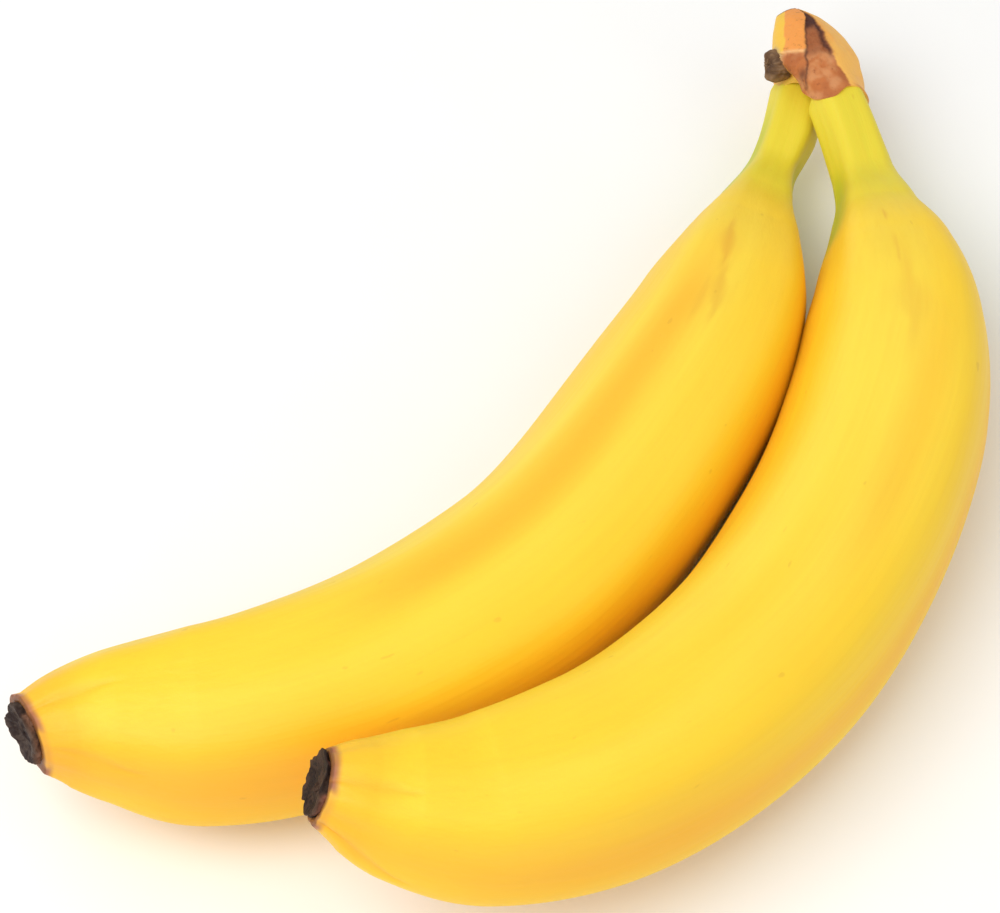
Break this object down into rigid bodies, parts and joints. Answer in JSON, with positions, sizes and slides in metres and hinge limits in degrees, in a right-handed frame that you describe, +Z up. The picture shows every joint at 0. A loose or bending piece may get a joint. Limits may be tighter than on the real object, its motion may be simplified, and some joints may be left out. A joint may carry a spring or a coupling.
{
  "type": "bunch of bananas",
  "caption": "Small bunch of ripe yellow bananas joined at a short crown, lying nested on their sides with dried blossom ends.",
  "frame": {"origin": "on the table, under the middle of the bunch's bounding box", "axes": "+Z up from the table; +Y from the blossom ends towards the crown, along the longest side; +X to the outer side of the right-hand finger"},
  "size_m": [0.1608, 0.1854, 0.0443],
  "materials": {
    "ripe_peel": "waxy satin",
    "crown_tissue": "matte, torn and browned",
    "dried_blossom": "dry and rough",
    "dried_stub": "dry and rough"
  },
  "bodies": {
    "root": {"banana_right": "ripe_peel", "banana_left": "ripe_peel", "crown": "crown_tissue", "blossom_end_right": "dried_blossom", "blossom_end_left": "dried_blossom", "broken_finger_stub": "dried_stub"}
  },
  "joints": []
}
